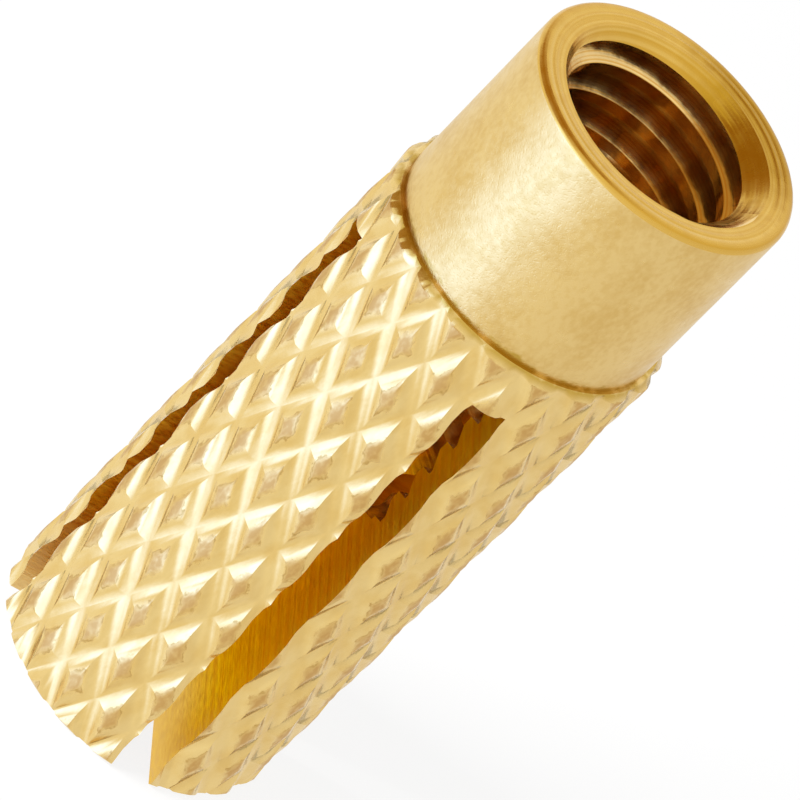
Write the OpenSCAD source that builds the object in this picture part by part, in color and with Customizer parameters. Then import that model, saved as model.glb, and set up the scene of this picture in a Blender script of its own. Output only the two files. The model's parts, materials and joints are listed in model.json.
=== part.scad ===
// Brass drive anchor: a sleeve turned from round bar, with a diamond knurl on its shank, an internal
// machine thread in its mouth and two crossed saw cuts that split the shank into four legs.
// It stands on its split end, with the mouth up.

/* [Sleeve] */
// Overall length of the sleeve
sleeve_l = 22; // [20:0.5:40]
// Diameter of the smooth collar at the mouth
collar_d = 7.45; // [7:0.05:7.6]
// Length of the smooth collar
collar_l = 5.45; // [3:0.05:6.5]
// Break on the outer edge of the mouth
mouth_break = 0.12; // [0.05:0.01:0.3]
// Break on the outer edge of the split end
tail_break = 0.12; // [0.05:0.01:0.3]

/* [Knurl] */
// Diameter over the tips of the diamonds
knurl_d = 8.05; // [7.9:0.05:9]
// Height of a diamond above the groove floors
knurl_h = 0.17; // [0.08:0.01:0.25]
// Grooves of each hand, counted round the sleeve
knurl_starts = 20; // [14:1:26]
// Length of one diamond along the sleeve, which is fitted to a whole number of diamonds
diamond_l = 2.77; // [1.8:0.01:4]
// Width of a groove floor
floor_w = 0.16; // [0.06:0.01:0.25]
// Width of the flat left on the tip of a diamond
tip_w = 0.24; // [0.1:0.01:0.4]
// Angle from the X axis to the nearest column of groove crossings
knurl_turn = -1.9; // [-9:0.1:9]
// Drop of the topmost groove crossings below the end of the shank
knurl_drop = 0.2; // [0:0.05:1]

/* [Bore] */
// Nominal diameter of the internal thread
thread_d = 6; // [5:0.1:6.4]
// Pitch of the internal thread
thread_pitch = 1; // [0.5:0.05:1.2]
// Depth of the tapped hole below the mouth
thread_l = 12.6; // [8:0.1:15]
// Angle from the X axis to the start of the thread groove, at the foot of the tapped hole
thread_turn = 10; // [0:1:360]
// Diameter of the countersink at the mouth face
sink_d = 6; // [5.2:0.05:6.6]
// Angle between the two sides of the countersink
sink_angle = 90; // [60:1:120]
// Angle between the two sides of the cone at the foot of the tapped hole
drill_angle = 118; // [60:1:140]
// Diameter of the plain hole through the split end
tail_bore_d = 3; // [2:0.1:4]

/* [Slots] */
// Length of the saw cuts from the split end
slot_l = 15; // [10:0.1:16]
// Width of the first saw cut at its closed end
slot_w = 0.95; // [0.6:0.05:1.4]
// Width of the first saw cut at the split end, where the legs stand a little apart
slot_mouth_w = 1.15; // [0.7:0.05:1.6]
// Width of the second saw cut at its closed end
cross_slot_w = 0.65; // [0.4:0.05:1.4]
// Width of the second saw cut at the split end
cross_slot_mouth_w = 0.7; // [0.4:0.05:1.6]

/* [Hidden] */
$fn = 96;
CUT = 1;                // overshoot of every cut past the face that it opens
SEAT = 0.5;             // how deep the collar runs on inside the knurled shank
THREAD_STEPS = 32;      // straight steps that make one turn of the thread groove
THREAD_FLANK = 30;      // angle between a flank of the thread and the plane across the sleeve
THREAD_ROOT = 1 / 8;    // width of the thread's root, in pitches
THREAD_REACH = 1 / 10;  // how far the groove's section stands out into the bore, in pitches

shank_l = sleeve_l - collar_l;
bore_d = thread_d - thread_pitch;       // drilled for tapping
bore_foot = sleeve_l - thread_l;

// The knurl is a grid of half diamonds: halves across, rows along. Grid points whose two numbers add
// up to an even number are groove crossings, and the others are diamond centres. It runs on above the
// shank by one whole diamond, and what the drop leaves over is cut off.
halves = 2 * knurl_starts;
shank_rows = 2 * max(1, round(shank_l / diamond_l));
rows = shank_rows + 2;
row_h = shank_l / shank_rows;
tip_r = knurl_d / 2;
floor_r = tip_r - knurl_h;
half_w = PI * tip_r / knurl_starts;     // half a diamond, measured round the sleeve
groove_cos = row_h / norm([half_w, row_h]);
floor_share = floor_w / (2 * half_w * groove_cos);
tip_share = tip_w / (2 * half_w * groove_cos);

// A point of the knurl at across j and up i, in grid units, at radius r
function grid_point(j, i, r) = [
    r * cos(360 * j / halves), r * sin(360 * j / halves), row_h * min(max(i, 0), rows)
];

// The corners of the diamond centred at (j, i), right, top, left and bottom, at its foot and at its tip
function corners(j, i, share, r) = [
    for (side = [[1, 0], [0, 1], [-1, 0], [0, -1]]) grid_point(j + share * side[0], i + share * side[1], r)
];
function diamond_points(j, i) = concat(
    corners(j, i, 1 - floor_share, floor_r), corners(j, i, tip_share, tip_r)
);

// Diamonds are numbered row by row, knurl_starts to a row, and these give the number of one point
function point(j, i, order) = 8 * (i * knurl_starts + floor(((j + halves) % halves) / 2)) + order;
function right(j, i) = point(j, i, 0);
function top(j, i) = point(j, i, 1);
function left(j, i) = point(j, i, 2);
function bottom(j, i) = point(j, i, 3);
function tip_right(j, i) = point(j, i, 4);
function tip_top(j, i) = point(j, i, 5);
function tip_left(j, i) = point(j, i, 6);
function tip_bottom(j, i) = point(j, i, 7);

// Two triangles over the quad a-b-c-d, which runs clockwise seen from outside
function quad(a, b, c, d) = [[a, b, c], [a, c, d]];

function upper_half(j, i) = concat(
    quad(left(j, i), top(j, i), tip_top(j, i), tip_left(j, i)),
    quad(top(j, i), right(j, i), tip_right(j, i), tip_top(j, i)),
    [[tip_left(j, i), tip_top(j, i), tip_right(j, i)]]
);
function lower_half(j, i) = concat(
    quad(right(j, i), bottom(j, i), tip_bottom(j, i), tip_right(j, i)),
    quad(bottom(j, i), left(j, i), tip_left(j, i), tip_bottom(j, i)),
    [[tip_right(j, i), tip_bottom(j, i), tip_left(j, i)]]
);

// Floors of the two grooves that rise from the crossing at (j, i), and the floor of the crossing
function rising_floors(j, i) = concat(
    quad(bottom(j, i + 1), right(j, i + 1), top(j + 1, i), left(j + 1, i)),
    quad(right(j - 1, i), top(j - 1, i), left(j, i + 1), bottom(j, i + 1))
);
function crossing_above(j, i) = [[right(j - 1, i), bottom(j, i + 1), left(j + 1, i)]];
function crossing_below(j, i) = [[left(j + 1, i), top(j, i - 1), right(j - 1, i)]];

// Outline of one end of the shank, anticlockwise seen from above
function end_ring(i) = [
    for (j = [1:2:halves - 1]) each [left(j, i), tip_left(j, i), tip_right(j, i), right(j, i)]
];

// The two ends are fans of triangles round a point on the axis
function fan(ring, centre) = [for (k = [0:len(ring) - 1]) [centre, ring[k], ring[(k + 1) % len(ring)]]];
function turned_over(faces) = [for (f = faces) [f[2], f[1], f[0]]];

module knurl() {
    grid = [for (i = [0:rows], k = [0:knurl_starts - 1]) each diamond_points(2 * k + (i + 1) % 2, i)];
    foot_fan = fan(end_ring(0), len(grid));
    head_fan = turned_over(fan(end_ring(rows), len(grid) + 1));
    skin = [
        for (i = [0:rows], j = [0:halves - 1])
            each (i + j) % 2 == 1
                ? concat(i < rows ? upper_half(j, i) : [], i > 0 ? lower_half(j, i) : [])
                : concat(
                    i < rows ? concat(rising_floors(j, i), crossing_above(j, i)) : [],
                    i > 0 ? crossing_below(j, i) : []
                )
    ];
    polyhedron(
        points = concat(grid, [[0, 0, 0], [0, 0, rows * row_h]]),
        faces = concat(skin, foot_fan, head_fan)
    );
}

module knurled_shank() {
    intersection() {
        translate([0, 0, -knurl_drop]) rotate([0, 0, knurl_turn]) knurl();
        cylinder(r = tip_r + CUT, h = shank_l);
    }
}

// Everything outside the cone that breaks the outer edge of the split end
module tail_bevel() {
    foot_r = tip_r - tail_break;
    rotate_extrude()
        polygon([[foot_r - CUT, -CUT], [tip_r + CUT, tail_break + CUT], [tip_r + CUT, -CUT]]);
}

module collar() {
    collar_r = collar_d / 2;
    rotate_extrude()
        polygon([
            [0, shank_l - SEAT],
            [collar_r, shank_l - SEAT],
            [collar_r, sleeve_l - mouth_break],
            [collar_r - mouth_break, sleeve_l],
            [0, sleeve_l]
        ]);
}

// Plain hole, cone of the tapping drill, tapped hole and countersink, all on the axis
module bore() {
    cone_h = (bore_d - tail_bore_d) / 2 / tan(drill_angle / 2);
    sink_h = (sink_d - bore_d) / 2 / tan(sink_angle / 2);
    translate([0, 0, -CUT]) cylinder(d = tail_bore_d, h = bore_foot);
    translate([0, 0, bore_foot - cone_h]) cylinder(d1 = tail_bore_d, d2 = bore_d, h = cone_h);
    translate([0, 0, bore_foot]) cylinder(d = bore_d, h = thread_l - sink_h);
    translate([0, 0, sleeve_l - sink_h]) cylinder(d1 = bore_d, d2 = sink_d, h = sink_h);
    translate([0, 0, sleeve_l]) cylinder(d = sink_d, h = CUT);
}

// The tap's path: a trapezoid that is wide inside the bore and narrow at the root of the thread, swept
// up a right-handed helix from the foot of the tapped hole and out past the mouth
module thread_groove() {
    root_r = thread_d / 2;
    root_h = thread_pitch * THREAD_ROOT / 2;
    inner_r = bore_d / 2 - thread_pitch * THREAD_REACH;
    inner_h = root_h + (root_r - inner_r) * tan(THREAD_FLANK);
    section = [[inner_r, -inner_h], [root_r, -root_h], [root_r, root_h], [inner_r, inner_h]];
    sides = len(section);
    steps = ceil(THREAD_STEPS * thread_l / thread_pitch);
    last = sides * steps;
    polyhedron(
        points = [
            for (k = [0:steps], p = section)
                let (a = 360 * k / THREAD_STEPS)
                    [p[0] * cos(a), p[0] * sin(a), p[1] + thread_pitch * k / THREAD_STEPS]
        ],
        faces = concat(
            [[3, 2, 1, 0], [last, last + 1, last + 2, last + 3]],
            [
                for (k = [0:steps - 1], s = [0:sides - 1])
                    let (here = sides * k, next = here + sides, t = (s + 1) % sides)
                        each quad(here + s, here + t, next + t, next + s)
            ]
        )
    );
}

// One saw cut across the whole shank, in the plane of X and Z
module saw_cut(closed_w, mouth_w) {
    spread = (mouth_w - closed_w) / 2 * CUT / slot_l;
    reach = knurl_d + 2 * CUT;
    translate([0, reach / 2, 0])
        rotate([90, 0, 0])
            linear_extrude(height = reach)
                polygon([
                    [-mouth_w / 2 - spread, -CUT],
                    [mouth_w / 2 + spread, -CUT],
                    [closed_w / 2, slot_l],
                    [-closed_w / 2, slot_l]
                ]);
}

module anchor_sleeve() {
    color([0.86, 0.70, 0.38])
        difference() {
            union() {
                knurled_shank();
                collar();
            }
            tail_bevel();
            bore();
            translate([0, 0, bore_foot + thread_pitch / 2]) rotate([0, 0, thread_turn]) thread_groove();
            saw_cut(slot_w, slot_mouth_w);
            rotate([0, 0, 90]) saw_cut(cross_slot_w, cross_slot_mouth_w);
        }
}

anchor_sleeve();
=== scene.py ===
# Brass drive anchor: one turned, knurled and slotted sleeve, standing on its split end.
import json
import math
import bpy
from mathutils import Matrix, Vector


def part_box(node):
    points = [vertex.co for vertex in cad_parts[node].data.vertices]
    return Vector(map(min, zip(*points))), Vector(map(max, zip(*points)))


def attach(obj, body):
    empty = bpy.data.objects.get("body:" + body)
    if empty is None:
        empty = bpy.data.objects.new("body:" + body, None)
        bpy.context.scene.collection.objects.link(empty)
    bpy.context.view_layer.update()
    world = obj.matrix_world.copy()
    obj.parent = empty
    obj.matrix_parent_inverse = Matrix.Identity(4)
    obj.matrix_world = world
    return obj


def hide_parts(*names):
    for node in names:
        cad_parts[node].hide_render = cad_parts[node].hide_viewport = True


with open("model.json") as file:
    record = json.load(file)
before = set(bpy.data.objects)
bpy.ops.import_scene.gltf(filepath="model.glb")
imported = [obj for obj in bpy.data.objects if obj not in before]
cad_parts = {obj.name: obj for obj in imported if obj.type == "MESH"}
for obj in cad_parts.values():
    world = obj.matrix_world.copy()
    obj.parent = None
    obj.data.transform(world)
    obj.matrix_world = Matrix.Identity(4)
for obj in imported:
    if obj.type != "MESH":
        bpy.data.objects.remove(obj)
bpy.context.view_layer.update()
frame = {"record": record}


# ---------------------------------------------------------------- Knurled shank
# The lower three quarters of the sleeve. Two crossing sets of grooves are rolled into the brass bar and
# leave diamonds: low pyramids whose tips keep a little of the bar's own dull skin. One diamond is modelled
# flat, repeated over a strip, and the strip is rolled up into a tube. Both ends are chamfered after that.
MM = 0.001                      # the sleeve is modelled in millimetres and brought to metres at the end
near = 1e-3                     # how close to a plane a point has to be to count as lying on it
same = 1e-4                     # how far apart two points may be to count as one
mounts = {mount["name"]: mount for mount in frame["record"]["mounts"]}
sleeve_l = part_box("anchor_sleeve")[1].z / MM
collar_l = 5.45
shank_l = sleeve_l - collar_l
tip_r = 4.025
knurl_h = 0.17
diamonds_round = 20
diamonds_along = 6
half_w = math.pi * tip_r / diamonds_round
half_h = shank_l / (2 * diamonds_along)
knurl_turn = math.radians(-1.9)
knurl_drop = 0.2
centre_to_groove = half_w * half_h / math.hypot(half_w, half_h)


def only(obj):
    """Leaves obj as the one selected and active object."""
    bpy.ops.object.select_all(action="DESELECT")
    obj.select_set(True)
    bpy.context.view_layer.objects.active = obj


def edit(obj, kind="FACE"):
    """Opens obj in edit mode with nothing selected."""
    only(obj)
    bpy.ops.object.mode_set(mode="EDIT")
    bpy.ops.mesh.select_mode(type=kind)
    bpy.ops.mesh.select_all(action="DESELECT")


def pick(obj, test):
    """In edit mode, selects the elements of the current select mode for which test is true."""
    kind = tuple(bpy.context.tool_settings.mesh_select_mode)
    bpy.ops.mesh.select_all(action="DESELECT")
    bpy.ops.object.mode_set(mode="OBJECT")
    mesh = obj.data
    group = mesh.vertices if kind[0] else mesh.edges if kind[1] else mesh.polygons
    for element in group:
        element.select = test(element)
    bpy.ops.object.mode_set(mode="EDIT")


def middle(obj, element):
    """The middle of an edge or a face."""
    points = [obj.data.vertices[index].co for index in element.vertices]
    return sum(points, Vector()) / len(points)


def finish_with(obj, kind, **settings):
    """Adds one modifier and applies it."""
    only(obj)
    modifier = obj.modifiers.new(kind.lower(), kind)
    for name, value in settings.items():
        setattr(modifier, name, value)
    bpy.ops.object.modifier_apply(modifier=modifier.name)


# Half widths of the diamond's outlines, in shares of the way from its centre to a groove: from the
# groove floors, over the steep foot and the rounded shoulder of each flank, to the tip. The falling
# grooves are rolled last, so they are the wider ones.
falling_floor = 0.2
rising_floor = 0.07
tip_w = 0.22
foot_w = 0.17
foot_h = 0.124
outlines = [
    (1 - falling_floor / 2 / centre_to_groove, 1 - rising_floor / 2 / centre_to_groove, 0),
    (
        1 - (falling_floor / 2 + foot_w) / centre_to_groove,
        1 - (rising_floor / 2 + foot_w) / centre_to_groove,
        foot_h
    ),
    (tip_w / 2 / centre_to_groove, tip_w / 2 / centre_to_groove, knurl_h - foot_h),
]
bpy.ops.object.select_all(action="DESELECT")
bpy.ops.mesh.primitive_plane_add(size=2, rotation=(math.pi / 2, 0, 0))
sleeve = bpy.context.object
sleeve.name = "sleeve"
bpy.ops.object.transform_apply(location=True, rotation=True, scale=True)
edit(sleeve)
bpy.ops.mesh.select_all(action="SELECT")
across, along = 1, 1
for next_across, next_along, rise in outlines:
    step = along - next_along
    bpy.ops.mesh.inset(thickness=step, depth=rise)
    bpy.ops.transform.resize(value=(next_across / (across - step), 1, 1))
    across, along = next_across, next_along

# Only the ridges that run from corner to corner stay sharp
bpy.ops.mesh.select_mode(type="EDGE")
pick(sleeve, lambda edge: abs(
    sleeve.data.vertices[edge.vertices[0]].co.y - sleeve.data.vertices[edge.vertices[1]].co.y) > same)
bpy.ops.mesh.mark_sharp()
bpy.ops.object.mode_set(mode="OBJECT")
sleeve.rotation_euler.y = -math.pi / 4
bpy.ops.object.transform_apply(location=False, rotation=True, scale=False)
sleeve.scale = (half_w / math.sqrt(2), 1, half_h / math.sqrt(2))
sleeve.location = (half_w, knurl_h, 0)
bpy.ops.object.transform_apply(location=True, rotation=False, scale=True)

edit(sleeve)
bpy.ops.mesh.select_all(action="SELECT")
bpy.ops.mesh.duplicate()
bpy.ops.transform.translate(value=(half_w, 0, half_h))
bpy.ops.object.mode_set(mode="OBJECT")
finish_with(
    sleeve, "ARRAY", count=diamonds_round, use_relative_offset=False, use_constant_offset=True,
    constant_offset_displace=(2 * half_w, 0, 0)
)
finish_with(
    sleeve, "ARRAY", count=diamonds_along + 1, use_relative_offset=False, use_constant_offset=True,
    constant_offset_displace=(0, 0, 2 * half_h)
)
sleeve.location.z = -knurl_drop
bpy.ops.object.transform_apply(location=True, rotation=False, scale=False)
spare_l = 0.3                   # how far the knurl runs on past both ends before it is faced off
edit(sleeve)
bpy.ops.mesh.select_all(action="SELECT")
bpy.ops.mesh.bisect(plane_co=(0, 0, -spare_l), plane_no=(0, 0, 1), clear_inner=True, threshold=1e-5)
bpy.ops.mesh.select_all(action="SELECT")
bpy.ops.mesh.bisect(plane_co=(0, 0, shank_l + spare_l), plane_no=(0, 0, 1), clear_outer=True, threshold=1e-5)
bpy.ops.object.mode_set(mode="OBJECT")

# The strip is half a diamond longer than one turn, because its two ends interlock
overlap = (2 * diamonds_round + 1) / (2 * diamonds_round)
finish_with(sleeve, "SIMPLE_DEFORM", deform_method="BEND", deform_axis="Z", angle=2 * math.pi * overlap)
sleeve.location.y = -tip_r
bpy.ops.object.transform_apply(location=True, rotation=False, scale=False)
edit(sleeve, "EDGE")
bpy.ops.mesh.select_all(action="SELECT")
bpy.ops.mesh.remove_doubles(threshold=same)
bpy.ops.mesh.select_all(action="DESELECT")
bpy.ops.mesh.select_non_manifold()
bpy.ops.mesh.fill_holes(sides=0)
bpy.ops.mesh.select_all(action="SELECT")
bpy.ops.mesh.normals_make_consistent(inside=False)
bpy.ops.object.mode_set(mode="OBJECT")
sleeve.rotation_euler.z = knurl_turn
bpy.ops.object.transform_apply(location=False, rotation=True, scale=False)


def add(tree, kind, inputs=None, **settings):
    """Adds a shader node, with its settings and with the values or links of its inputs."""
    new = tree.nodes.new("ShaderNode" + kind)
    for name, value in settings.items():
        setattr(new, name, value)
    for name, value in (inputs or {}).items():
        if isinstance(value, bpy.types.NodeSocket):
            tree.links.new(value, new.inputs[name])
        else:
            new.inputs[name].default_value = value
    return new


def place(tree):
    """A point of the sleeve, in metres."""
    return add(tree, "TexCoord").outputs["Object"]


def radius(tree):
    """Distance from the sleeve's axis, in millimetres."""
    flat = add(tree, "VectorMath", {0: place(tree), 1: (1 / MM, 1 / MM, 0)}, operation="MULTIPLY")
    return add(tree, "VectorMath", {0: flat.outputs[0]}, operation="LENGTH").outputs["Value"]


def height(tree):
    """Height above the split end, in millimetres."""
    up = add(tree, "SeparateXYZ", {0: place(tree)}).outputs["Z"]
    return scaled(tree, up, 1 / MM)


def scaled(tree, value, factor):
    """A value times a factor."""
    return add(tree, "Math", {0: value, 1: factor}, operation="MULTIPLY").outputs[0]


def total(tree, *values):
    """The sum of several values."""
    result = values[0]
    for value in values[1:]:
        result = add(tree, "Math", {0: result, 1: value}, operation="ADD").outputs[0]
    return result


def grain(tree, size, detail=2.0, turn=(0, 0, 0)):
    """Random mottling from 0 to 1, with grains of the given size in millimetres along X, Y and Z."""
    spot = add(
        tree, "Mapping", {"Vector": place(tree), "Scale": [side * MM for side in size], "Rotation": turn},
        vector_type="TEXTURE"
    )
    return add(tree, "TexNoise", {"Vector": spot.outputs[0], "Scale": 1, "Detail": detail}).outputs["Fac"]


def lines(tree, measure, width, detail=2.0):
    """Random lines from 0 to 1 across the way in which measure grows, about a width apart."""
    return add(
        tree, "TexNoise", {"W": measure, "Scale": 1 / width, "Detail": detail}, noise_dimensions="1D"
    ).outputs["Fac"]


def between(tree, value, low, high, at_low=0.0, at_high=1.0):
    """Runs evenly from at_low to at_high as value goes from low to high."""
    return add(tree, "MapRange", {
        "Value": value, "From Min": low, "From Max": high, "To Min": at_low, "To Max": at_high
    }).outputs[0]


def mixed(tree, share, first, second):
    """A colour that goes from the first to the second as share goes from 0 to 1."""
    first, second = ((*colour, 1) if isinstance(colour, tuple) else colour for colour in (first, second))
    return add(tree, "Mix", {0: share, 6: first, 7: second}, data_type="RGBA").outputs[2]


def brass(name, colour, roughness, relief):
    """A brass finish. The last three are functions of the material's tree, and relief is in millimetres."""
    material = bpy.data.materials.new(name)
    material.use_nodes = True
    tree = material.node_tree
    shader = tree.nodes["Principled BSDF"]
    shader.inputs["Metallic"].default_value = 1
    tree.links.new(colour(tree), shader.inputs["Base Color"])
    tree.links.new(roughness(tree), shader.inputs["Roughness"])
    bump = add(tree, "Bump", {"Height": relief(tree), "Distance": MM, "Strength": 1})
    tree.links.new(bump.outputs[0], shader.inputs["Normal"])
    return material


skin_wander = 0.06              # how far the edge of the bar's skin wanders up and down the flanks
skin_from, skin_full = -0.002, 0.032
tip_outline_at = 0.25                  # where the dark line runs on the skin's edge, from 0 outside to 1 inside
tip_outline_share = 0.8
step_shade_wander = 0.9               # how far the upper edge of the painted shade along the step wanders
step_shade_top, step_shade_top_full = 0.6, 0.45
step_shade_foot, step_shade_foot_full = -0.18, -0.04
step_shade_share = 0.85


def bar_skin(tree):
    """1 on the tips of the diamonds, with a ragged edge, and 0 on their flanks."""
    ragged = total(tree, radius(tree), scaled(tree, grain(tree, (0.12, 0.12, 0.2), 3), skin_wander))
    return between(tree, ragged, tip_r + skin_from, tip_r + skin_full)


def tip_outline(tree):
    """Broken thin dark lines round the tips."""
    skin = bar_skin(tree)
    line = scaled(tree, between(tree, skin, 2 * tip_outline_at, tip_outline_at), between(tree, skin, 0, tip_outline_at))
    return scaled(tree, line, between(tree, grain(tree, (0.3, 0.3, 0.3)), 0.45, 0.6, 0, tip_outline_share))


def step_shade(tree):
    """Share of the painted shade and reflection along the step between the knurl and the collar. Its upper
    edge is ragged.
    """
    ragged = total(tree, height(tree), scaled(tree, grain(tree, (0.5, 0.5, 0.3), 3), step_shade_wander))
    return scaled(
        tree, between(tree, ragged, shank_l + step_shade_top, shank_l + step_shade_top_full),
        between(tree, height(tree), shank_l + step_shade_foot, shank_l + step_shade_foot_full, 0, step_shade_share))


rolled_colour = (0.83, 0.60, 0.24)
rolled_tint = (0.78, 0.53, 0.18)
skin_colour = (0.63, 0.38, 0.12)
# colour of the thin dark lines round the tips
tip_outline_colour = (0.50, 0.29, 0.07)
# painted shade and reflection: the darker gold of the ledge, mirrored along the step
step_shade_colour = (0.54, 0.33, 0.045)
rolled_rough = (0.2, 0.55)      # of the flanks and of the tips
# The knurl's colour carries the painted shade along the step below the collar.
rolled_brass = brass(
    "rolled brass",
    colour=lambda tree: mixed(tree, step_shade(tree), mixed(
        tree, tip_outline(tree),
        mixed(
            tree, bar_skin(tree),
            mixed(tree, between(
                tree, grain(tree, (0.5, 0.5, 0.9), 3), 0.4, 0.65), rolled_colour, rolled_tint),
            skin_colour),
        tip_outline_colour), step_shade_colour),
    roughness=lambda tree: between(
        tree, total(tree, bar_skin(tree), scaled(tree, grain(tree, (0.3, 0.3, 0.3)), 0.3)),
        0, 1.3, *rolled_rough),
    relief=lambda tree: total(
        tree, scaled(tree, grain(tree, (0.3, 0.3, 0.5), 3), 0.01),
        scaled(tree, grain(tree, (0.05, 0.05, 0.08)), 0.001)),
)
sleeve.data.materials.append(rolled_brass)


def cut(obj, other, operation):
    """Joins, takes away or keeps only what is in another closed shape, which is used up. Each wall keeps
    its own finish."""
    finish_with(obj, "BOOLEAN", object=other, operation=operation, solver="EXACT", material_mode="TRANSFER")
    bpy.data.objects.remove(other)


# The ends are faced off, and their outer edges are chamfered: the upper one to just below the grooves
round_steps = 192
tail_break = 0.12
head_break = 0.19
clear = 0.02                    # how far outside the tips the chamfering cutter starts
bpy.ops.object.select_all(action="DESELECT")
bpy.ops.mesh.primitive_cylinder_add(
    vertices=round_steps, radius=tip_r + clear, depth=shank_l, location=(0, 0, shank_l / 2))
blank = bpy.context.object
bpy.ops.object.transform_apply(location=True, rotation=True, scale=True)
for end_z, end_break in ((0, tail_break), (shank_l, head_break)):
    edit(blank, "EDGE")
    pick(blank, lambda edge: abs(middle(blank, edge).z - end_z) < near)
    bpy.ops.mesh.bevel(offset=end_break + clear, segments=1, affect="EDGES")
    bpy.ops.object.mode_set(mode="OBJECT")
blank.data.materials.append(rolled_brass)
cut(sleeve, blank, "INTERSECT")


# ---------------------------------------------------------------- Collar and mouth
# The smooth end of the sleeve, turned down a little below the knurl and scuffed by handling. Its face was
# parted off flat, with the rings that the tool left, and its outer edge is rounded.
collar_r = mounts["collar"]["dims"]["r_mm"]
mouth_round = 0.2
mouth_round_steps = 5
turned_down = 0.6               # share of the rounded edge that has the finish of the face
seat = 0.5                      # how deep the collar runs on inside the shank
bpy.ops.object.select_all(action="DESELECT")
bpy.ops.mesh.primitive_cylinder_add(
    vertices=round_steps, radius=collar_r, depth=collar_l + seat,
    location=(0, 0, sleeve_l - (collar_l + seat) / 2)
)
collar = bpy.context.object
bpy.ops.object.transform_apply(location=True, rotation=True, scale=True)
edit(collar, "EDGE")
pick(collar, lambda edge: middle(collar, edge).z > sleeve_l - near)
bpy.ops.mesh.bevel(offset=mouth_round, segments=mouth_round_steps, affect="EDGES")

# The parting tool's rings: the width of each step and how far it goes up or down
bpy.ops.mesh.select_mode(type="FACE")
pick(collar, lambda face: face.normal.z > 0.999)
for width, rise in (
    (0.08, 0), (0.02, -0.008), (0.09, -0.004), (0.02, 0.006), (0.08, -0.008), (0.02, -0.008), (0.06, -0.01)
):
    bpy.ops.mesh.inset(thickness=width, depth=rise)
bpy.ops.object.mode_set(mode="OBJECT")

satin_colour = (0.79, 0.56, 0.215)
satin_tint = (0.71, 0.47, 0.15)
satin_rough = (0.27, 0.42)
dent_h = 0.05                   # shallow dents, fine turning marks and two sets of thin scratches
turning_h = 0.0012
scratch_h = -0.0015
# The collar's colour carries the painted shade along the step above the knurl.
satin_brass = brass(
    "satin brass",
    colour=lambda tree: mixed(tree, step_shade(tree), mixed(
        tree, total(
            tree, between(tree, grain(tree, (1.2, 1.2, 1.6), 4), 0.42, 0.62, -0.1, 0.6),
            between(tree, grain(tree, (0.14, 0.14, 0.2), 3), 0.35, 0.65, -0.2, 0.5)),
        satin_colour, satin_tint), step_shade_colour),
    roughness=lambda tree: between(tree, grain(tree, (0.5, 0.5, 0.25), 3), 0.3, 0.7, *satin_rough),
    relief=lambda tree: total(
        tree, scaled(tree, grain(tree, (2.2, 2.2, 2.2), 1), dent_h),
        scaled(tree, grain(tree, (0.5, 0.5, 0.04), 2), turning_h),
        scaled(tree, between(tree, grain(tree, (0.05, 0.9, 0.05), 0, (0.5, 0, 0.3)), 0.6, 0.7), scratch_h),
        scaled(tree, between(tree, grain(tree, (0.9, 0.05, 0.05), 0, (0, 0.7, 0)), 0.6, 0.7), scratch_h)),
)
face_colour = (0.66, 0.37, 0.05)
face_tint = (0.77, 0.49, 0.115)
# painted shade on the side of the mouth away from the light
mouth_shade_colour = (0.50, 0.26, 0.015)
turned_rough = (0.2, 0.36)
mouth_shade_azimuth = math.radians(124)
mouth_shade_wander = 0.3
mouth_shade_from, mouth_shade_full = 0.75, 1.1
mouth_shade_share = 0.85


def mouth_shade(tree):
    """Share of the painted shade that darkens the side of the mouth away from the light. It is 0 away from
    there.
    """
    way = (math.cos(mouth_shade_azimuth), math.sin(mouth_shade_azimuth), 0)
    out = add(tree, "VectorMath", {0: place(tree), 1: way}, operation="DOT_PRODUCT").outputs["Value"]
    share = add(tree, "Math", {0: scaled(tree, out, 1 / MM), 1: radius(tree)}, operation="DIVIDE").outputs[0]
    ragged = total(tree, share, scaled(tree, grain(tree, (0.6, 0.6, 0.6), 3), mouth_shade_wander))
    return between(tree, ragged, mouth_shade_from, mouth_shade_full, 0, mouth_shade_share)


# The turned finish's colour carries painted shade on the side of the mouth away from the light.
turned_brass = brass(
    "turned brass",
    colour=lambda tree: mixed(tree, mouth_shade(tree), mixed(
        tree, between(tree, lines(tree, radius(tree), 0.16, 2), 0.35, 0.65), face_colour, face_tint),
        mouth_shade_colour),
    roughness=lambda tree: between(tree, grain(tree, (0.4, 0.4, 0.4), 2), 0.3, 0.7, *turned_rough),
    relief=lambda tree: total(
        tree, scaled(tree, lines(tree, radius(tree), 0.1, 2), 0.008),
        scaled(tree, grain(tree, (0.25, 0.25, 0.25), 3), 0.004)),
)


def dress(obj, *finishes):
    """Gives obj its finishes: the first all over, and the next ones where their tests are true."""
    for order, (material, test) in enumerate(finishes):
        obj.data.materials.append(material)
        for face in obj.data.polygons:
            if test(face):
                face.material_index = order


dress(
    collar, (satin_brass, lambda face: True),
    (turned_brass, lambda face: middle(collar, face).z > sleeve_l - mouth_round * turned_down)
)
cut(sleeve, collar, "UNION")


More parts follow.
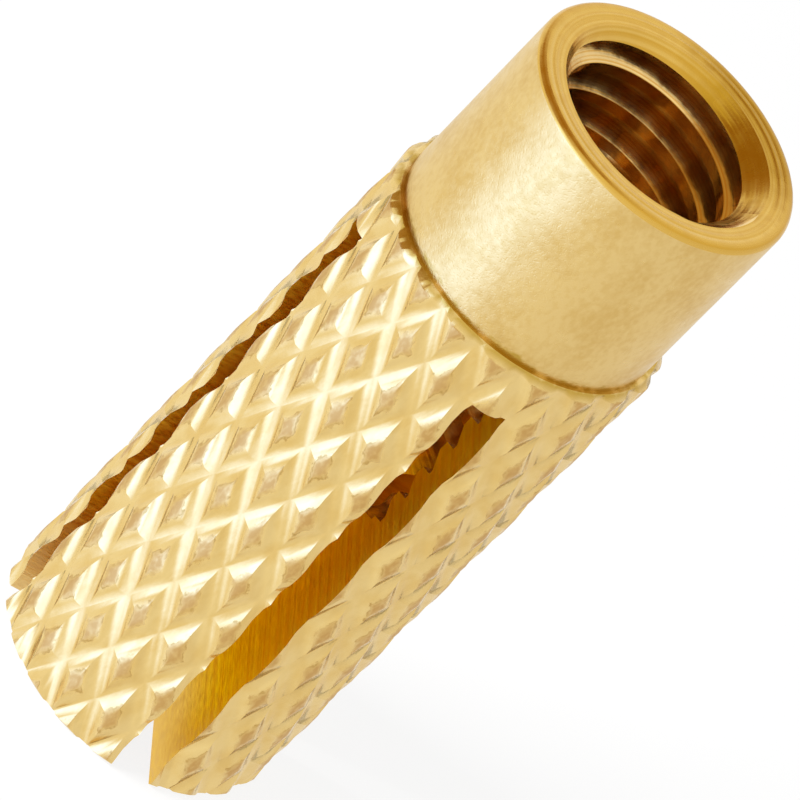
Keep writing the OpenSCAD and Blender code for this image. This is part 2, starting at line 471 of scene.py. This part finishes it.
# ---------------------------------------------------------------- Bore and thread
# A hole drilled for tapping goes down from the countersunk mouth and ends in the drill's cone, and a
# smaller hole goes on through the split end. A right-handed thread is tapped in the wide part.
bore_r = mounts["thread"]["dims"]["r_mm"]
thread_r = 3.0
pitch = 1.0
tapped_l = 12.6
sink_r = 3.0
tail_bore_r = 1.5
drill_angle = math.radians(118)
past = 1.0                      # how far each cutter runs past the face that it opens
bore_foot = sleeve_l - tapped_l
cone_h = (bore_r - tail_bore_r) / math.tan(drill_angle / 2)
sink_h = sink_r - bore_r
bpy.ops.object.select_all(action="DESELECT")
bpy.ops.mesh.primitive_circle_add(
    vertices=round_steps, radius=tail_bore_r, fill_type="NGON", location=(0, 0, -past)
)
bore = bpy.context.object
bpy.ops.object.transform_apply(location=True, rotation=True, scale=True)
edit(bore)
bpy.ops.mesh.select_all(action="SELECT")
for rise, end_r, start_r in (
    (past + bore_foot - cone_h, tail_bore_r, tail_bore_r),
    (cone_h, bore_r, tail_bore_r),
    (tapped_l - sink_h, bore_r, bore_r),
    (sink_h + past, sink_r + past, bore_r),
):
    bpy.ops.mesh.extrude_region_move(TRANSFORM_OT_translate={"value": (0, 0, rise)})
    bpy.ops.transform.resize(value=(end_r / start_r, end_r / start_r, 1))
bpy.ops.mesh.select_all(action="SELECT")
bpy.ops.mesh.normals_make_consistent(inside=False)
bpy.ops.object.mode_set(mode="OBJECT")

# The tap's tooth, a slice that is swept along the helix
flank_slope = math.tan(math.radians(30))
root_w = pitch / 8
tooth_in = 0.1                  # how far the tooth reaches inside the bore's wall
thread_steps = 96
thread_turn = math.radians(10)
bpy.ops.object.select_all(action="DESELECT")
bpy.ops.mesh.primitive_plane_add(size=1, rotation=(math.pi / 2, 0, 0))
tooth = bpy.context.object
bpy.ops.object.transform_apply(location=True, rotation=True, scale=True)
edit(tooth, "EDGE")
tooth_depth = thread_r - bore_r + tooth_in
tooth_foot_w = root_w + 2 * tooth_depth * flank_slope
bpy.ops.mesh.select_all(action="SELECT")
bpy.ops.transform.resize(value=(tooth_depth, 1, tooth_foot_w))
bpy.ops.transform.translate(value=(thread_r - tooth_depth / 2, 0, bore_foot + pitch / 2))
pick(tooth, lambda edge: middle(tooth, edge).x > thread_r - near)
bpy.ops.transform.resize(value=(1, 1, root_w / tooth_foot_w))
bpy.ops.mesh.select_mode(type="FACE")
bpy.ops.mesh.select_all(action="SELECT")
bpy.ops.mesh.delete(type="ONLY_FACE")
bpy.ops.object.mode_set(mode="OBJECT")
finish_with(
    tooth, "SCREW", axis="Z", angle=2 * math.pi, screw_offset=pitch, iterations=math.ceil(tapped_l / pitch),
    steps=thread_steps, render_steps=thread_steps, use_merge_vertices=False
)
edit(tooth, "EDGE")
bpy.ops.mesh.select_non_manifold()
bpy.ops.mesh.fill_holes(sides=0)
bpy.ops.mesh.select_all(action="SELECT")
bpy.ops.mesh.normals_make_consistent(inside=False)
bpy.ops.object.mode_set(mode="OBJECT")
tooth.rotation_euler.z = thread_turn
bpy.ops.object.transform_apply(location=True, rotation=True, scale=True)

thread_colour = (0.78, 0.45, 0.11)
thread_tint = (0.86, 0.60, 0.25)
tapped_rough = (0.14, 0.26)
tapped_brass = brass(
    "tapped brass",
    colour=lambda tree: mixed(
        tree, between(tree, lines(tree, radius(tree), 0.07, 2), 0.4, 0.6), thread_colour, thread_tint),
    roughness=lambda tree: between(tree, grain(tree, (0.5, 0.5, 0.5), 2), 0.3, 0.7, *tapped_rough),
    relief=lambda tree: total(
        tree, scaled(tree, lines(tree, radius(tree), 0.09, 1), 0.002),
        scaled(tree, grain(tree, (0.5, 0.5, 0.5), 2), 0.012)),
)
dress(tooth, (tapped_brass, lambda face: True))
dress(
    bore, (tapped_brass, lambda face: True),
    (turned_brass, lambda face: middle(bore, face).z > sleeve_l - sink_h)
)
cut(sleeve, tooth, "DIFFERENCE")
cut(sleeve, bore, "DIFFERENCE")


# ---------------------------------------------------------------- Saw cuts
# Two crossed cuts of a slitting saw from the far end split the shank into four legs, which stand a
# little apart at their ends. The saw's teeth left lines across the walls.
slot_l = 15.0
# painted highlight: the sawn walls turn paler towards the ends of the legs
end_highlight_colour = (0.82, 0.56, 0.22)
highlight_from, highlight_full = 3.6, 1.2
sawn_rough = (0.35, 0.55)
edge_tint = (1, 0.7, 0.1, 1)    # of what the walls mirror at a flat angle


def sawn(name, colour, tint):
    """The finish of a sawn wall, with the saw's lines. It is paler towards the ends of the legs, a painted
    highlight.
    """
    material = brass(
        name,
        colour=lambda tree: mixed(tree, between(tree, height(tree), highlight_from, highlight_full), mixed(
            tree, between(tree, total(
                tree, lines(tree, height(tree), 0.2, 2), scaled(tree, grain(tree, (0.6, 0.6, 0.4), 3), 0.5)),
                0.55, 1.0), colour, tint), end_highlight_colour),
        roughness=lambda tree: between(tree, grain(tree, (0.3, 0.3, 0.1), 2), 0.3, 0.7, *sawn_rough),
        relief=lambda tree: total(
            tree, scaled(tree, lines(tree, height(tree), 0.17, 3), 0.012),
            scaled(tree, grain(tree, (0.3, 0.3, 0.06), 3), 0.01)),
    )
    material.node_tree.nodes["Principled BSDF"].inputs["Specular Tint"].default_value = edge_tint
    return material


sawn_brass = sawn("sawn brass", (1.0, 0.74, 0.03), (0.92, 0.56, 0.015))
# painted shade: the second cut's walls are a darker copy of the sawn brass
shaded_sawn_brass = sawn("dull sawn brass", (0.94, 0.54, 0.03), (0.80, 0.40, 0.015))
# Each cut's angle round the sleeve, its width at the closed end, its width at the split end and its finish
for turn, slot_w, slot_mouth_w, finish in (
    (0, 0.95, 1.15, sawn_brass), (math.pi / 2, 0.65, 0.7, shaded_sawn_brass)
):
    bpy.ops.object.select_all(action="DESELECT")
    bpy.ops.mesh.primitive_cube_add(size=1, location=(0, 0, (slot_l - past) / 2), rotation=(0, 0, turn))
    saw = bpy.context.object
    saw.scale = (2 * (tip_r + past), slot_mouth_w, slot_l + past)
    bpy.ops.object.transform_apply(location=True, rotation=False, scale=True)
    edit(saw)
    pick(saw, lambda face: face.normal.z > 0.5)
    bpy.ops.transform.resize(value=(1, slot_w / slot_mouth_w, 1))
    bpy.ops.object.mode_set(mode="OBJECT")
    bpy.ops.object.transform_apply(location=False, rotation=True, scale=False)
    dress(saw, (finish, lambda face: True))
    cut(sleeve, saw, "DIFFERENCE")

smooth_angle = math.radians(44)
sleeve.scale = (MM, MM, MM)
only(sleeve)
bpy.ops.object.transform_apply(location=True, rotation=True, scale=True)
bpy.ops.object.shade_smooth_by_angle(angle=smooth_angle, keep_sharp_edges=True)
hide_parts("anchor_sleeve")
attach(sleeve, "root")


# ---------------------------------------------------------------- Studio
# A pale floor in a white room. What the metal mirrors of the room has a wide soft light to the left of
# the camera and a warm dark stretch of ceiling behind that. One lamp lays a faint shadow on the floor.
view_right = Vector((-0.03879, 0.81368, 0.58002))
view_up = Vector((-0.66907, -0.45228, 0.58974))
view_back = Vector((0.74219, -0.3652, 0.56195))
camera_azimuth = -26.2
floor_w = 2.0
floor_white = 0.85              # how much of the floor is plain white to the camera

bpy.ops.object.select_all(action="DESELECT")
bpy.ops.mesh.primitive_plane_add(size=floor_w, location=(0, 0, 0))
floor = bpy.context.object
floor.name = "floor"
pale = bpy.data.materials.new("pale floor")
pale.use_nodes = True
tree = pale.node_tree
matt = tree.nodes["Principled BSDF"]
matt.inputs["Base Color"].default_value = (0.9, 0.9, 0.9, 1)
matt.inputs["Roughness"].default_value = 0.8
seen = add(tree, "LightPath")
glow = add(tree, "Emission")
seen_floor = add(tree, "MixShader", {
    0: scaled(tree, seen.outputs["Is Camera Ray"], floor_white), 1: matt.outputs[0], 2: glow.outputs[0]})
clear_floor = add(tree, "BsdfTransparent")
blend = add(tree, "MixShader", {
    0: seen.outputs["Is Glossy Ray"], 1: seen_floor.outputs[0], 2: clear_floor.outputs[0]})
tree.links.new(blend.outputs[0], tree.nodes["Material Output"].inputs[0])
floor.data.materials.append(pale)

world = bpy.data.worlds.new("studio")
bpy.context.scene.world = world
world.use_nodes = True
tree = world.node_tree
sky = add(tree, "TexCoord").outputs["Generated"]
seen = add(tree, "LightPath")
mirrored = seen.outputs["Is Glossy Ray"]
rise = add(tree, "SeparateXYZ", {0: sky}).outputs["Z"]


def towards(azimuth, elevation):
    """A direction, from its angle round the sleeve and its angle above the floor."""
    turn, lift = math.radians(azimuth), math.radians(elevation)
    return math.cos(turn) * math.cos(lift), math.sin(turn) * math.cos(lift), math.sin(lift)


def bell(tree, value, centre, flat, half):
    """1 within flat of the centre, falling smoothly to 0 at half."""
    sides = [add(tree, "MapRange", {
        "Value": value, "From Min": centre + side * half, "From Max": centre + side * flat
    }, interpolation_type="SMOOTHSTEP").outputs[0] for side in (-1, 1)]
    return scaled(tree, sides[0], sides[1])


# The light's angles are in degrees, and its place is counted from the camera. Of a pair of values, the
# light or the dark starts at the first and is whole at the second.
light_azimuth = -37
light_flat = 6
light_half = 43
light_strength = 1.9
light_shares = (0.31, 0.66, 1.96)   # what the light adds in red, green and blue
light_foot = (-0.85, -0.45)
light_top = (0.5, 0.25)
light_dim = (-0.5, -0.15)
light_dim_share = 0.78          # of the whole light, where the dimmer foot of it starts
round_share = add(tree, "TexGradient", {"Vector": sky}, gradient_type="RADIAL").outputs["Fac"]
strip = bell(
    tree, round_share, (camera_azimuth + light_azimuth) / 360 + 0.5, light_flat / 360, light_half / 360)
strip = scaled(tree, strip, between(tree, rise, *light_foot))
strip = scaled(tree, strip, between(tree, rise, *light_top))
strip = scaled(tree, strip, between(tree, rise, *light_dim, light_dim_share, 1))
light_colour = tuple(1 + light_strength * share for share in light_shares)
dark_colour = (0.5, 0.3, 0.08)
dark_way = towards(camera_azimuth - 110, 52)
dark_edge = (math.cos(math.radians(41)), math.cos(math.radians(35)))
near_dark = add(tree, "VectorMath", {0: sky, 1: dark_way}, operation="DOT_PRODUCT").outputs["Value"]
dark = between(tree, near_dark, *dark_edge)
dim_way = towards(camera_azimuth + 100, -10)
dim_edge = (-0.2, 0.8)
bright_side = (1.07, 1.09, 1.07)
dim_side = (0.92, 0.92, 0.92)
near_dim = add(tree, "VectorMath", {0: sky, 1: dim_way}, operation="DOT_PRODUCT").outputs["Value"]
room = mixed(tree, between(tree, near_dim, *dim_edge), bright_side, dim_side)
room = mixed(tree, strip, room, light_colour)
room = mixed(tree, dark, room, dark_colour)
room = mixed(tree, mirrored, (1.0, 1.0, 1.0), room)
soft_strength = 0.6             # of the room where it is neither seen nor mirrored
seen_at_all = add(
    tree, "Math", {0: seen.outputs["Is Camera Ray"], 1: mirrored}, operation="MAXIMUM")
back = tree.nodes["Background"]
tree.links.new(room, back.inputs["Color"])
tree.links.new(between(tree, seen_at_all.outputs[0], 0, 1, soft_strength, 1), back.inputs["Strength"])

key_distance = 0.15
key_light = bpy.data.lights.new("key", "AREA")
key_light.size = 0.06
key_light.energy = 0.35
key = bpy.data.objects.new("key", key_light)
bpy.context.scene.collection.objects.link(key)
key_way = (view_up * 0.8 - view_right * 0.5 + view_back * 0.7).normalized()
key.location = Vector((0, 0, sleeve_l / 2 * MM)) + key_way * key_distance
key.rotation_euler = key_way.to_track_quat("Z", "Y").to_euler()
key.visible_glossy = False      # so that the brass doesn't mirror it


# ---------------------------------------------------------------- Camera
# A long lens looks down on the mouth, and the camera is rolled so that the sleeve lies across the
# picture, mouth up to the right.
camera_data = bpy.data.cameras.new("camera")
camera_data.lens = 427.5
camera_data.sensor_width = 36
camera_data.clip_start = 0.01
camera_data.clip_end = 10
camera = bpy.data.objects.new("camera", camera_data)
bpy.context.scene.collection.objects.link(camera)
camera_place = Vector((0.169553, -0.083404, 0.139474))
camera.matrix_world = Matrix.Translation(camera_place) @ Matrix(
    (view_right, view_up, view_back)).transposed().to_4x4()
bpy.context.scene.camera = camera

bpy.context.scene.view_settings.view_transform = "Standard"
bpy.context.view_layer.update()
